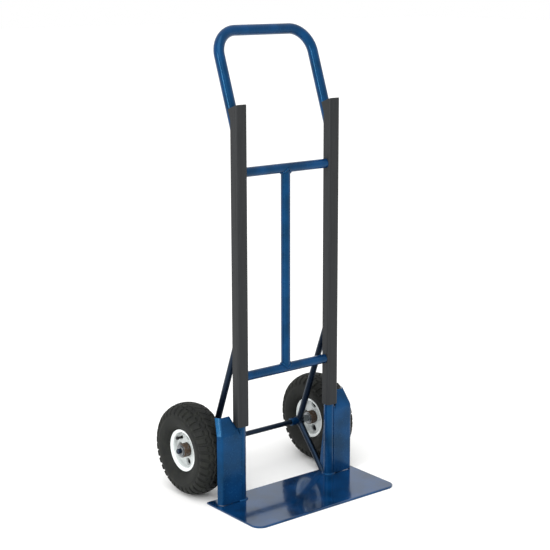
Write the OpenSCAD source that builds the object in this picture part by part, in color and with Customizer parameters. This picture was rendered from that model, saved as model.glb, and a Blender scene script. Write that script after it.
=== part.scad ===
// Two-wheel hand truck with a continuous loop handle, pneumatic wheels and a steel toe plate.
// Millimetres. Origin on the floor, midway between the uprights and in their common plane.
// +Z is up, +X is to the right seen from the front, and the toe plate points towards -Y.

/* [Frame] */
// Distance between the centre lines of the two uprights
upright_spacing = 310; // [270:1:380]
// Height from the floor to the top of the handle
overall_h = 1258; // [1150:2:1510]
// Outside diameter of the bent frame tube
tube_od = 28.6; // [25:0.1:34.4]
// Wall thickness of every frame tube
tube_wall = 2; // [1.5:0.1:3]
// Height at which the uprights start to lean back, where the two centre lines cross
lean_z = 975; // [950:5:1000]
// Lean of the handle from the vertical, in degrees
handle_lean = 20; // [12:1:28]
// Centre-line radius of the bend into the lean
lean_bend_r = 150; // [100:10:200]
// Centre-line radius of the two top corners of the handle
corner_r = 66; // [50:1:90]
// Outside diameter of the crossbars and the centre strut
bar_od = 25.4; // [19:0.1:25.4]
// Height of the upper crossbar's centre line
upper_bar_z = 889; // [780:1:900]
// Height of the lower crossbar's centre line
lower_bar_z = 344.5; // [320:0.5:420]

/* [Toe plate] */
// Width of the toe plate
plate_w = 485; // [440:5:600]
// Reach of the toe plate in front of the uprights' plane
plate_front = 189; // [150:1:260]
// Reach of the toe plate behind the uprights' plane
plate_back = 37.3; // [36:0.1:60]
// Thickness of the toe plate
plate_t = 4.8; // [3:0.1:8]
// Radius of the two front corners of the toe plate
plate_corner_r = 30; // [5:1:60]

/* [Wheels] */
// Outside diameter of the tyres
wheel_d = 254; // [210:1:270]
// Width of the tyres
tyre_w = 89; // [80:1:96]
// Distance of each wheel's mid-plane outboard of its upright's centre line
wheel_offset = 67.7; // [67:0.1:105]
// Gap between the uprights' plane and the front of the tyres
tyre_gap = 4.7; // [4:0.1:33]
// Diameter of the axle
axle_d = 14.3; // [12:0.1:17.2]
// Outside diameter of the two-piece rim
rim_d = 116; // [112:1:120]
// Bolt circle of the rim's four bolts
rim_pcd = 72; // [68:1:74]
// Length of the wheel hub
hub_len = 70; // [60:1:76]

/* [Covers and guards] */
// Wall thickness of the upright covers
cover_wall = 3.5; // [2:0.5:6.5]
// Height of the covers' lower ends
cover_z0 = 212; // [205:1:260]
// Height of the covers' upper ends
cover_z1 = 1065; // [1000:1:1100]
// Distance of the guards' outer bend outboard of the upright's centre line
guard_w = 70; // [60:1:73]
// Height of the bend at which the guards start to lean back
guard_bend_z = 198; // [160:1:200]
// Sheet thickness of the guards
guard_t = 3; // [2:0.1:4]

/* [Braces] */
// Diameter of the brace bars between the uprights and the axle
brace_d = 17.5; // [14:0.5:20]
// Height at which the upper brace bars reach the uprights' plane
brace_top_z = 491; // [460:1:540]
// Distance behind the uprights' plane at which the lower brace bars reach the toe plate
brace_foot_y = 25; // [22:1:28]

/* [Hidden] */
$fn = 96;

LEFT = -1;
RIGHT = 1;
INBOARD = -1;
OUTBOARD = 1;

BLUE = "#1f4a78";
BLACK = "#10141c";
COVER_GREY = "#3b3d40";
RUBBER = "#26282a";
RIM_WHITE = "#dfe3e2";
ZINC = "#b9bcc0";
STEEL = "#8f9296";

cut = 1;              // how far a cutting shape runs past what it cuts
weld_gap = 0.3;       // root gap left at each welded joint
slip = 0.05;          // radial running clearance of the axle and the bearings
seat_gap = 0.2;       // clearance between pieces that are clamped or pressed together
bend_step = 0.2;      // how much slimmer in radius the tube is drawn in its bends
bend_lap = 1;         // angle by which a bend reaches into the straight tube at each end

upright_x = upright_spacing / 2;
tube_r = tube_od / 2;
bar_r = bar_od / 2;
wheel_r = wheel_d / 2;
wheel_x = upright_x + wheel_offset;                // mid-plane of each wheel
axle_y = wheel_r + tyre_gap;                       // the axle, behind the uprights' plane
axle_r = axle_d / 2;
brace_r = brace_d / 2;
rim_r = rim_d / 2;

grip_z = overall_h - tube_r;
grip_u = (grip_z - lean_z) / cos(handle_lean);     // along the leaning legs, from the lean point
lean_tangent = lean_bend_r * tan(handle_lean / 2);
bend_z = lean_z - lean_tangent;                    // the uprights are straight up to here
bend_rise = lean_bend_r * sin(handle_lean);        // height of the bend above that
bend_reach = lean_bend_r * (1 - cos(handle_lean)); // how far the bend takes the tube back

cover_slot_r = tube_r + seat_gap;                  // the cover's inside, over the tube
cover_front = cover_slot_r + cover_wall;           // reach of the cover in front of the tube's centre
cover_w = 2 * cover_front;
cover_back = 9;                                    // reach of the cover behind the tube's centre
cover_corner_r = 8;
cover_notch = 3;                                   // room round a crossbar where it enters a cover

guard_x = upright_x + guard_w;
guard_y = tube_r - 0.3;                            // the guards' front face, in front of the plane
guard_z0 = plate_t + 1.5;
guard_inner_x = upright_x + sqrt(pow(tube_r, 2) - pow(guard_y - guard_t, 2)) + weld_gap;
guard_rise = 44;                                   // height of the leaning top of a guard
guard_lean = 23;                                   // how far that top leans back
guard_taper = 10;                                  // how far its outer edge comes in
guard_step_x = upright_x + cover_w / 2 - 4.5;      // inner end of the bend, under the cover
guard_clear_x = upright_x + cover_w / 2 + 0.75;    // the guard passes the cover's lower end here
guard_top_x = upright_x + cover_w / 2 + 12;        // inner corner of the top
flange_out = 8;                                    // the flange flares out this far
flange_back = 14;                                  // and reaches this far back

brace_slope = (wheel_r - plate_t) / (axle_y - brace_foot_y);
lower_brace_end = [brace_foot_y - plate_t / brace_slope, 0];

boss_r = axle_r + 3.8;
boss_x0 = upright_x - 31;                          // inboard end of each axle boss
boss_x1 = upright_x + 10;                          // outboard end
gusset_t = 5;
gusset_reach = plate_back - tube_r - 3;            // how far the foot gussets stand behind the tubes
gusset_h = 160;

washer_r = axle_r + 7;
washer_t = 2.5;
washer_bore = axle_r + 0.3;
hub_x0 = wheel_x - hub_len / 2;
hub_x1 = wheel_x + hub_len / 2;
side_play = 0.4;                                   // between a hub's end and its washer
pin_r = 1.6;
pin_hole_r = 1.9;
pin_x = hub_x1 + side_play + washer_t + pin_hole_r + 1;
pin_reach = 8;                                     // how far a split pin stands out of the axle
eye_r = 2.6;                                       // centre-line radius of the pin's eye
axle_end = pin_x + 6;

hub_r = 19;
bearing_r = 17.5;                                  // seat radius of the bearings in the hub
bearing_w = 11;
inner_ring_r = axle_r + 3.4;
outer_ring_bore = bearing_r - 3;
ball_pitch_r = (inner_ring_r + outer_ring_bore) / 2;
ball_r = (outer_ring_bore - inner_ring_r) / 2 + 0.9;
groove_gap = 0.1;
ball_count = 8;

sheet = 2.2;                                       // sheet thickness of the rim halves
seat_r = rim_r - 7.2;                              // outside of the rim where the tyre's beads sit
flange_z = 26.6;                                   // inner face of the rim's lip
disc_z = 12;                                       // outer face of the dished disc
pocket_r = 9;                                      // the pressed pockets that hold the bolts
bolt_r = 4;
bolt_hole_r = 4.3;
bolt_head_h = 5;
bolt_across = 13;                                  // width of head and nut across the flats
valve_angle = 45;
valve_at = 38;                                     // the valve's distance from the wheel's centre
valve_r = 3.9;
valve_hole_r = 4.2;
cap_r = 4.6;

side_wall_r = (wheel_r - rim_r) / 2 + 1;           // the round flanks of the tyre
tyre_wall = 4.5;
flank_r = wheel_r - side_wall_r - 3.5;             // distance of the flanks' centres from the axle
flank_z = tyre_w / 2 - side_wall_r;
crown_r = 64;                                      // the tread's cross radius
tread_half = 30;                                   // half the width of the raised tread
bead_z0 = 16;
bead_top = rim_r + 4;

// ---- frame -----------------------------------------------------------------------------------

// A bend about the local Z axis; it is a touch slimmer than the straight tube and laps into it
module bend(r_bend, angle, r) {
    rotate([0, 0, -bend_lap]) rotate_extrude(angle = angle + 2 * bend_lap)
        translate([r_bend, 0]) circle(r = r - bend_step);
}

// Half of the frame tube's path as a solid round bar, for x > 0: foot, bend, leaning leg and corner,
// and the given length of grip
module half_path(r, grip) {
    leg = grip_u - corner_r - lean_tangent;
    translate([upright_x, 0, plate_t]) cylinder(r = r, h = bend_z - plate_t);
    translate([upright_x, lean_bend_r, bend_z]) rotate([90, 0, -90]) {
        bend(lean_bend_r, handle_lean, r);
        rotate([0, 0, handle_lean]) translate([lean_bend_r, 0, 0]) {
            rotate([-90, 0, 0]) cylinder(r = r, h = leg);
            translate([0, leg, corner_r]) rotate([0, 90, 0]) bend(corner_r, 90, r);
            if (grip > 0) translate([0, leg + corner_r, corner_r]) cylinder(r = r, h = grip);
        }
    }
}

// The whole path: both uprights, both corners and the grip
module frame_path(r) {
    half_path(r, 2 * (upright_x - corner_r));
    mirror([1, 0, 0]) half_path(r, 0);
}

module frame_tube() {
    color(BLUE) difference() {
        frame_path(tube_r);
        frame_path(tube_r - tube_wall);
    }
}

// A crossbar, coped at both ends to the uprights
module crossbar(z) {
    color(BLUE) difference() {
        translate([0, 0, z]) rotate([0, 90, 0]) cylinder(r = bar_r, h = upright_spacing, center = true);
        translate([0, 0, z]) rotate([0, 90, 0])
            cylinder(r = bar_r - tube_wall, h = upright_spacing + cut, center = true);
        for (side = [LEFT, RIGHT])
            translate([side * upright_x, 0, z - tube_od])
                cylinder(r = tube_r + weld_gap, h = 2 * tube_od);
    }
}

module upper_crossbar() crossbar(upper_bar_z);
module lower_crossbar() crossbar(lower_bar_z);

// The strut between the crossbars, coped at both ends
module centre_strut() {
    color(BLUE) difference() {
        translate([0, 0, lower_bar_z]) cylinder(r = bar_r, h = upper_bar_z - lower_bar_z);
        translate([0, 0, lower_bar_z - cut])
            cylinder(r = bar_r - tube_wall, h = upper_bar_z - lower_bar_z + 2 * cut);
        for (z = [lower_bar_z, upper_bar_z])
            translate([0, 0, z]) rotate([0, 90, 0])
                cylinder(r = bar_r + weld_gap, h = 2 * bar_od, center = true);
    }
}

// Flat plate with two rounded front corners and a bevelled front edge
module toe_plate() {
    bevel = 1;
    bevel_reach = 4;
    color(BLUE) difference() {
        linear_extrude(plate_t) {
            translate([-plate_w / 2, plate_corner_r - plate_front])
                square([plate_w, plate_back + plate_front - plate_corner_r]);
            translate([plate_corner_r - plate_w / 2, -plate_front])
                square([plate_w - 2 * plate_corner_r, plate_corner_r + cut]);
            for (side = [LEFT, RIGHT])
                translate([side * (plate_w / 2 - plate_corner_r), plate_corner_r - plate_front])
                    circle(r = plate_corner_r);
        }
        translate([0, bevel_reach - plate_front, plate_t])
            rotate([atan(bevel / bevel_reach), 0, 0])
                translate([-plate_w, -plate_w, 0]) cube([2 * plate_w, plate_w, plate_t]);
    }
}

// ---- covers, guards, braces --------------------------------------------------------------------

// Outline of an upright cover: a channel with a rounded front that is open to the rear
module cover_outline() {
    difference() {
        union() {
            translate([-cover_w / 2, cover_corner_r - cover_front])
                square([cover_w, cover_back + cover_front - cover_corner_r]);
            translate([cover_corner_r - cover_w / 2, -cover_front])
                square([cover_w - 2 * cover_corner_r, cover_corner_r + cut]);
            for (end = [-1, 1])
                translate([end * (cover_w / 2 - cover_corner_r), cover_corner_r - cover_front])
                    circle(r = cover_corner_r);
        }
        circle(r = cover_slot_r);
        translate([-cover_slot_r, 0]) square([2 * cover_slot_r, cover_back + cut]);
    }
}

// Side wall of a cover above the tube's bend, in Y and Z: its rear edge follows the leaning tube
module cover_side() {
    polygon([[0, bend_z], [cover_back, bend_z], [cover_back + bend_reach, bend_z + bend_rise],
        [cover_back + (cover_z1 - lean_z) * tan(handle_lean), cover_z1], [0, cover_z1]]);
}

// Cover of an upright, notched for the crossbars, with its top cut square to the leaning tube
module upright_cover(side) {
    notch_r = bar_r + cover_notch;
    color(COVER_GREY) translate([side * upright_x, 0, 0]) difference() {
        union() {
            translate([0, 0, cover_z0]) linear_extrude(cover_z1 - cover_z0) cover_outline();
            for (end = [-1, 1])
                translate([end * (cover_w - cover_wall) / 2, 0, 0]) rotate([90, 0, 90])
                    linear_extrude(cover_wall, center = true) cover_side();
        }
        for (z = [lower_bar_z, upper_bar_z])
            translate([-side * cover_w / 2, 0, z]) {
                rotate([0, 90, 0]) cylinder(r = notch_r, h = cover_w, center = true);
                translate([0, cover_w / 2, 0]) cube([cover_w, cover_w, 2 * notch_r], center = true);
            }
        translate([0, -cover_front, cover_z1]) rotate([-handle_lean, 0, 0])
            translate([-cover_w, -cover_w, 0]) cube([2 * cover_w, 4 * cover_w, overall_h]);
    }
}

// Section of a guard's flange at the bend; it flares outwards as it goes back
module flange_outline() {
    polygon([[guard_x - guard_t, -guard_y], [guard_x, -guard_y],
        [guard_x + flange_out, flange_back - guard_y],
        [guard_x + flange_out - guard_t, flange_back - guard_y],
        [guard_x - guard_t, guard_t - guard_y]]);
}

// A thin slice of a guard's flat or flange, used as one end of a leaning plate
module slice() linear_extrude(0.01) children();

// Slice of the leaning top from its inner edge x0 to its outer edge x1, at a height above the bend
module lean_slice(x0, x1, rise) {
    translate([x0, guard_lean * rise / guard_rise - guard_y, guard_bend_z + rise])
        slice() square([x1 - x0, guard_t]);
}

// Folded sheet that shields a tyre: an upright web, a leaning top and a flared outer flange
module wheel_guard(side) {
    web_drop = 12;
    clear_rise = min(cover_z0 - guard_bend_z, guard_rise);
    clear_taper = guard_taper * clear_rise / guard_rise;
    color(BLUE) mirror([side < 0 ? 1 : 0, 0, 0]) {
        translate([0, guard_t - guard_y, 0]) rotate([90, 0, 0]) linear_extrude(guard_t)
            polygon([[guard_inner_x, guard_z0], [guard_x, guard_z0], [guard_x, guard_bend_z],
                [guard_step_x, guard_bend_z], [guard_inner_x, guard_bend_z - web_drop]]);
        translate([0, 0, guard_z0]) linear_extrude(guard_bend_z - guard_z0) flange_outline();
        hull() {
            lean_slice(guard_step_x, guard_x, 0);
            lean_slice(guard_clear_x, guard_x - clear_taper, clear_rise);
        }
        hull() {
            lean_slice(guard_clear_x, guard_x - clear_taper, clear_rise);
            lean_slice(guard_top_x, guard_x - guard_taper, guard_rise);
        }
        hull() {
            translate([0, 0, guard_bend_z]) slice() flange_outline();
            translate([-guard_taper, guard_lean, guard_bend_z + guard_rise]) slice() flange_outline();
        }
    }
}

// A round bar from one point to another, both in the plane x = 0
module bar_between(a, b, r) {
    translate([0, a[0], a[1]])
        rotate([-atan2(b[0] - a[0], b[1] - a[1]), 0, 0])
            cylinder(r = r, h = norm(b - a));
}

// Brace bar from an upright's rear down to the axle boss
module upper_brace(side) {
    color(BLACK) translate([side * upright_x, 0, 0]) difference() {
        bar_between([axle_y, wheel_r], [0, brace_top_z], brace_r);
        translate([0, 0, plate_t]) cylinder(r = tube_r + weld_gap, h = overall_h);
        translate([0, axle_y, wheel_r]) rotate([0, 90, 0])
            cylinder(r = boss_r + weld_gap, h = 2 * tube_od, center = true);
        translate([-tube_od, -2 * tube_od, 0]) cube([2 * tube_od, 2 * tube_od, overall_h]);
    }
}

// Brace bar from the axle boss down to the toe plate, against the foot gusset
module lower_brace(side) {
    color(BLACK) translate([side * upright_x, 0, 0]) difference() {
        bar_between([axle_y, wheel_r], lower_brace_end, brace_r);
        translate([0, axle_y, wheel_r]) rotate([0, 90, 0])
            cylinder(r = boss_r + weld_gap, h = 2 * tube_od, center = true);
        translate([-tube_od, -tube_od, plate_t + weld_gap - tube_od])
            cube([2 * tube_od, 6 * tube_od, tube_od]);
        cylinder(r = tube_r + weld_gap, h = lower_bar_z);
        translate([-gusset_t / 2 - weld_gap, 0, 0])
            cube([gusset_t + 2 * weld_gap, tube_r + gusset_reach + weld_gap, gusset_h]);
    }
}

// Three-cornered plate behind the foot of an upright
module foot_gusset(side) {
    y0 = tube_r + weld_gap;
    color(BLUE) translate([side * upright_x - gusset_t / 2, 0, 0])
        rotate([90, 0, 90]) linear_extrude(gusset_t)
            polygon([[y0, plate_t], [tube_r + gusset_reach, plate_t], [tube_r + gusset_reach, plate_t + 30],
                [y0 + 2, plate_t + gusset_h], [y0, plate_t + gusset_h]]);
}

// ---- axle and what sits on it --------------------------------------------------------------------

// Places children on the axle, with their local +Z pointing outboard on the given side
module on_axle(side, x) {
    translate([side * x, axle_y, wheel_r]) rotate([0, side * 90, 0]) children();
}

// Ring about the local Z axis, from z0 upwards
module ring(r_in, r_out, h) {
    difference() {
        cylinder(r = r_out, h = h);
        translate([0, 0, -cut]) cylinder(r = r_in, h = h + 2 * cut);
    }
}

module axle() {
    color(BLACK) difference() {
        translate([0, axle_y, wheel_r]) rotate([0, 90, 0])
            cylinder(r = axle_r, h = 2 * axle_end, center = true);
        for (side = [LEFT, RIGHT])
            translate([side * pin_x, axle_y, wheel_r])
                cylinder(r = pin_hole_r, h = 2 * axle_d, center = true);
    }
}

module axle_boss(side)
    color(BLUE) on_axle(side, boss_x0) ring(axle_r + seat_gap, boss_r, boss_x1 - boss_x0);

module axle_spacer(side)
    color(ZINC) on_axle(side, boss_x1 + seat_gap)
        ring(axle_r + seat_gap, boss_r - 0.8, hub_x0 - side_play - washer_t - boss_x1 - 2 * seat_gap);

// One washer against each end of the hub
module axle_washers(side) {
    color(ZINC) for (x = [hub_x0 - side_play - washer_t, hub_x1 + side_play])
        on_axle(side, x) ring(washer_bore, washer_r, washer_t);
}

// Split pin through the axle's end: a round shank and an eye
module split_pin(side) {
    color(ZINC) translate([side * pin_x, axle_y, wheel_r]) {
        translate([0, 0, -axle_r - pin_reach]) cylinder(r = pin_r, h = 2 * axle_r + pin_reach + 1);
        translate([0, 0, axle_r + eye_r + 1]) rotate([0, 90, 0])
            rotate_extrude() translate([eye_r, 0]) circle(r = pin_r / 2 + 0.2);
    }
}

// ---- bearings -----------------------------------------------------------------------------------

// Places children at a bearing's inboard face, with local +Z pointing outboard
module at_bearing(side, end) {
    on_axle(side, wheel_x + end * (hub_len - bearing_w) / 2 - bearing_w / 2) children();
}

module bearing_groove()
    translate([0, 0, bearing_w / 2]) rotate_extrude()
        translate([ball_pitch_r, 0]) circle(r = ball_r + groove_gap);

module bearing_inner_ring(side, end) {
    color(STEEL) at_bearing(side, end) difference() {
        ring(axle_r + slip, inner_ring_r, bearing_w);
        bearing_groove();
    }
}

module bearing_outer_ring(side, end) {
    color(STEEL) at_bearing(side, end) difference() {
        ring(outer_ring_bore, bearing_r - slip, bearing_w);
        bearing_groove();
    }
}

module bearing_balls(side, end) {
    color(STEEL) at_bearing(side, end)
        for (i = [0 : ball_count - 1])
            rotate([0, 0, i * 360 / ball_count]) translate([ball_pitch_r, 0, bearing_w / 2])
                sphere(r = ball_r);
}

// ---- wheels ---------------------------------------------------------------------------------------

// Places children at a wheel's centre, with local +Z pointing outboard
module at_wheel(side) on_axle(side, wheel_x) children();

// Outer shape of the tyre's section: two round flanks, the raised tread and the two beads
module tyre_section() {
    for (end = [-1, 1]) {
        translate([flank_r, end * flank_z]) circle(r = side_wall_r);
        translate([seat_r + seat_gap, end > 0 ? bead_z0 : -flange_z + seat_gap])
            square([bead_top - seat_r, flange_z - seat_gap - bead_z0]);
    }
    intersection() {
        translate([wheel_r - crown_r, 0]) circle(r = crown_r);
        translate([flank_r, -tread_half]) square([2 * crown_r, 2 * tread_half]);
    }
}

// Air space of the tyre, reduced all round by a gap
module tyre_cavity(gap) {
    for (end = [-1, 1])
        translate([flank_r, end * (flank_z - 2)]) circle(r = side_wall_r - tyre_wall - gap);
}

module tyre(side) {
    color(RUBBER) at_wheel(side) rotate_extrude() difference() {
        tyre_section();
        tyre_cavity(0);
        translate([0, -bead_z0]) square([flank_r, 2 * bead_z0]);
        for (end = [-1, 1])
            translate([0, end > 0 ? flange_z - seat_gap : -tyre_w])
                square([rim_r + seat_gap, tyre_w - flange_z + seat_gap]);
        square([2 * (seat_r + seat_gap), 2 * tyre_w], center = true);
    }
}

module inner_tube(side) {
    tube_gap = 0.4;
    tube_skin = 2;
    color(RUBBER) at_wheel(side) rotate_extrude() difference() {
        tyre_cavity(tube_gap);
        tyre_cavity(tube_gap + tube_skin);
    }
}

// One pressed half of the rim, drawn on the outboard side of the wheel's mid-plane
module rim_half() {
    difference() {
        union() {
            rotate_extrude() {
                translate([seat_r - sheet, flange_z]) square([rim_r - seat_r + sheet, sheet]);
                translate([rim_r - sheet / 2, flange_z + sheet]) circle(r = sheet / 2);
                translate([seat_r - sheet, disc_z - sheet]) square([sheet, flange_z - disc_z + sheet + 0.5]);
                translate([hub_r, disc_z - sheet]) square([seat_r - hub_r, sheet]);
            }
            for (i = [0 : 3])
                rotate([0, 0, i * 90]) translate([rim_pcd / 2, 0, seat_gap / 2])
                    cylinder(r = pocket_r + sheet, h = disc_z - seat_gap / 2);
        }
        for (i = [0 : 3])
            rotate([0, 0, i * 90]) translate([rim_pcd / 2, 0, 0]) {
                translate([0, 0, sheet]) cylinder(r = pocket_r, h = disc_z);
                translate([0, 0, -cut]) cylinder(r = bolt_hole_r, h = disc_z);
            }
        translate([0, 0, -cut]) cylinder(r = hub_r + seat_gap / 2, h = tyre_w);
    }
}

module rim_outer_half(side) {
    color(RIM_WHITE) at_wheel(side) difference() {
        rim_half();
        rotate([0, 0, valve_angle]) translate([valve_at, 0, 0]) cylinder(r = valve_hole_r, h = tyre_w);
    }
}

module rim_inner_half(side)
    color(RIM_WHITE) at_wheel(side) mirror([0, 0, 1]) rim_half();

// Turned hub with a bearing seat in each end
module hub(side) {
    color(STEEL) on_axle(side, hub_x0) difference() {
        cylinder(r = hub_r, h = hub_len);
        translate([0, 0, -cut]) cylinder(r = bearing_r - 3, h = hub_len + 2 * cut);
        translate([0, 0, -cut]) cylinder(r = bearing_r, h = bearing_w + cut);
        translate([0, 0, hub_len - bearing_w]) cylinder(r = bearing_r, h = bearing_w + cut);
    }
}

module hexagon(h) cylinder(r = bolt_across / 2 / cos(30), h = h, $fn = 6);

module rim_bolts(side) {
    color(ZINC) at_wheel(side) for (i = [0 : 3])
        rotate([0, 0, i * 90]) translate([rim_pcd / 2, 0, 0]) {
            translate([0, 0, sheet + seat_gap / 2]) hexagon(bolt_head_h);
            translate([0, 0, -disc_z]) cylinder(r = bolt_r, h = disc_z + sheet + seat_gap);
        }
}

module rim_nuts(side) {
    nut_h = 6.5;
    color(ZINC) at_wheel(side) for (i = [0 : 3])
        rotate([0, 0, i * 90]) translate([rim_pcd / 2, 0, -sheet - seat_gap - nut_h]) difference() {
            hexagon(nut_h);
            translate([0, 0, -cut]) cylinder(r = bolt_r + slip, h = nut_h + 2 * cut);
        }
}

// Rubber valve stem standing out of the rim's outer half
module valve_stem(side) {
    color(RUBBER) at_wheel(side) rotate([0, 0, valve_angle]) translate([valve_at, 0, 0]) {
        translate([0, 0, 3]) cylinder(r = valve_r, h = 22);
        translate([0, 0, 3]) cylinder(r = valve_r + 2.5, h = disc_z - sheet - seat_gap - 3);
    }
}

module valve_cap(side) {
    cap_z = 25 + seat_gap;
    color(BLACK) at_wheel(side) rotate([0, 0, valve_angle]) translate([valve_at, 0, cap_z])
        cylinder(r = cap_r, h = 6);
}

// ---- one line for each node -----------------------------------------------------------------------

frame_tube();
upper_crossbar();
lower_crossbar();
centre_strut();
toe_plate();
upright_cover(LEFT);  // left_upright_cover
upright_cover(RIGHT);  // right_upright_cover
wheel_guard(LEFT);  // left_wheel_guard
wheel_guard(RIGHT);  // right_wheel_guard
upper_brace(LEFT);  // left_upper_brace
upper_brace(RIGHT);  // right_upper_brace
lower_brace(LEFT);  // left_lower_brace
lower_brace(RIGHT);  // right_lower_brace
foot_gusset(LEFT);  // left_foot_gusset
foot_gusset(RIGHT);  // right_foot_gusset
axle_boss(LEFT);  // left_axle_boss
axle_boss(RIGHT);  // right_axle_boss
axle();
axle_spacer(LEFT);  // left_axle_spacer
axle_spacer(RIGHT);  // right_axle_spacer
axle_washers(LEFT);  // left_axle_washers
axle_washers(RIGHT);  // right_axle_washers
split_pin(LEFT);  // left_split_pin
split_pin(RIGHT);  // right_split_pin
tyre(LEFT);  // left_tyre
tyre(RIGHT);  // right_tyre
inner_tube(LEFT);  // left_inner_tube
inner_tube(RIGHT);  // right_inner_tube
rim_outer_half(LEFT);  // left_rim_outer_half
rim_outer_half(RIGHT);  // right_rim_outer_half
rim_inner_half(LEFT);  // left_rim_inner_half
rim_inner_half(RIGHT);  // right_rim_inner_half
hub(LEFT);  // left_hub
hub(RIGHT);  // right_hub
rim_bolts(LEFT);  // left_rim_bolts
rim_bolts(RIGHT);  // right_rim_bolts
rim_nuts(LEFT);  // left_rim_nuts
rim_nuts(RIGHT);  // right_rim_nuts
valve_stem(LEFT);  // left_valve_stem
valve_stem(RIGHT);  // right_valve_stem
valve_cap(LEFT);  // left_valve_cap
valve_cap(RIGHT);  // right_valve_cap
bearing_outer_ring(LEFT, OUTBOARD);  // left_outboard_bearing_outer_ring
bearing_outer_ring(LEFT, INBOARD);  // left_inboard_bearing_outer_ring
bearing_outer_ring(RIGHT, OUTBOARD);  // right_outboard_bearing_outer_ring
bearing_outer_ring(RIGHT, INBOARD);  // right_inboard_bearing_outer_ring
bearing_balls(LEFT, OUTBOARD);  // left_outboard_bearing_balls
bearing_balls(LEFT, INBOARD);  // left_inboard_bearing_balls
bearing_balls(RIGHT, OUTBOARD);  // right_outboard_bearing_balls
bearing_balls(RIGHT, INBOARD);  // right_inboard_bearing_balls
bearing_inner_ring(LEFT, OUTBOARD);  // left_outboard_bearing_inner_ring
bearing_inner_ring(LEFT, INBOARD);  // left_inboard_bearing_inner_ring
bearing_inner_ring(RIGHT, OUTBOARD);  // right_outboard_bearing_inner_ring
bearing_inner_ring(RIGHT, INBOARD);  // right_inboard_bearing_inner_ring
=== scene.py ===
"""Hand truck with a bent tube frame, grey upright covers, folded guards and pneumatic wheels.

Run as a script, it dresses the loaded frame: each operator makes one piece or one group of like
pieces, in metres, in the frame's own axes: +X right, -Y towards the toe plate's edge, +Z up.
"""

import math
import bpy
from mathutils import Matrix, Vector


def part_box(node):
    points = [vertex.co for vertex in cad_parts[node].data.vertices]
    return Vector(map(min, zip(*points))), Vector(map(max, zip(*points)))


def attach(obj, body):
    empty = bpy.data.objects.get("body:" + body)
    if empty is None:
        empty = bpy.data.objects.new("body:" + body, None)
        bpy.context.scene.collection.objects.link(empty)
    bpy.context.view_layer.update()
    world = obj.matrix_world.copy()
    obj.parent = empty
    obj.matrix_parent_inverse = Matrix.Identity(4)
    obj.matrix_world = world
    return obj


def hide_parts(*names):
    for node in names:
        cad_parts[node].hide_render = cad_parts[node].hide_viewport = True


bl_info = {
    "name": "Hand Truck",
    "version": (1, 0, 0),
    "blender": (4, 5, 0),
    "location": "3D View > Sidebar > Hand Truck",
    "description": "Builds the looks of a steel hand truck around its loaded frame",
    "category": "Object",
}

import bmesh
import bpy
import numpy as np
from bpy.props import FloatProperty, FloatVectorProperty, IntProperty, PointerProperty
from bpy.types import Operator, Panel, PropertyGroup
from mathutils import Matrix, Vector

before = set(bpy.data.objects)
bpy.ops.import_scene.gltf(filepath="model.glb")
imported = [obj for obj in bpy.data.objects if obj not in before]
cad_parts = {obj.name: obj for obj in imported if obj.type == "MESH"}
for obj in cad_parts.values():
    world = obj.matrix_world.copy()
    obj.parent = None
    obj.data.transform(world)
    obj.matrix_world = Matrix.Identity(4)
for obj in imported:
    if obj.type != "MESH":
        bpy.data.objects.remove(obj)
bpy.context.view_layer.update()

MM = 0.001
SIDES = {"left": -1, "right": 1}
SEED = 7


def low(node):
    """Lowest corner of a node of the frame."""
    return np.array(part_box(node)[0])


def high(node):
    """Highest corner of a node of the frame."""
    return np.array(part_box(node)[1])


def middle(node):
    """Centre of a node's box."""
    return (low(node) + high(node)) / 2


def linear(code):
    """An sRGB hex colour as linear red, green and blue."""
    value = np.array([int(code[i : i + 2], 16) for i in (1, 3, 5)]) / 255
    return tuple(np.where(value <= 0.04045, value / 12.92, ((value + 0.055) / 1.055) ** 2.4))


# ---- sizes and colours that a user may change ----------------------------------------------------


def length(name, description, default):
    return FloatProperty(name=name, description=description, default=default, unit="LENGTH", precision=4)


def colour(name, description, code):
    return FloatVectorProperty(
        name=name, description=description, default=linear(code), subtype="COLOR", min=0, max=1
    )


class TubeSizes(PropertyGroup):
    """The bent frame tube, its crossbars and its braces."""

    tube_r: length("Tube radius", "Outside radius of the bent frame tube", -low("frame_tube")[1])
    lean_z: length("Lean height", "Height at which the uprights start to lean back", 975 * MM)
    bend_r: length("Lean bend", "Centre-line radius of the bend into the lean", 150 * MM)
    corner_r: length("Corner bend", "Centre-line radius of the handle's corners", 66 * MM)
    bead_r: length("Weld bead", "Radius of the fillet welds", 3.2 * MM)
    brace_r: length("Brace radius", "Radius of the brace bars", 8.75 * MM)


class SheetSizes(PropertyGroup):
    """The toe plate, the guards and the upright covers."""

    plate_corner_r: length("Plate corners", "Radius of the toe plate's front corners", 30 * MM)
    plate_bevel: length("Plate bevel", "Reach of the toe plate's ground front edge", 4 * MM)
    guard_t: length("Guard sheet", "Sheet thickness of the wheel guards", 3 * MM)
    fold_r: length("Guard fold", "Outside radius of the guards' folds", 7 * MM)
    cover_wall: length("Cover wall", "Wall thickness of the upright covers", 3.5 * MM)
    cover_corner_r: length("Cover corners", "Radius of the covers' front corners", 8 * MM)
    cover_back: length("Cover back", "Reach of the covers' sides behind the tube's centre line", 9 * MM)


class WheelSizes(PropertyGroup):
    """The tyres and the pressed rims."""

    lug_count: IntProperty(name="Lugs", description="Tread lugs round a tyre", default=34, min=12)
    lug_h: length("Lug height", "Height of the tread lugs above the carcass", 3.5 * MM)
    groove: length("Groove", "Width of the grooves between shoulder lugs", 7 * MM)
    sheet: length("Rim sheet", "Sheet thickness of the rim halves", 2.2 * MM)
    pocket_r: length("Pocket radius", "Radius of the rim's pressed bolt pockets", 9 * MM)
    bolt_circle_r: length("Bolt circle", "Radius of the rim's bolt circle", 36 * MM)
    bolt_across: length("Bolt head", "Width of bolt heads and nuts across the flats", 13 * MM)


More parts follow.
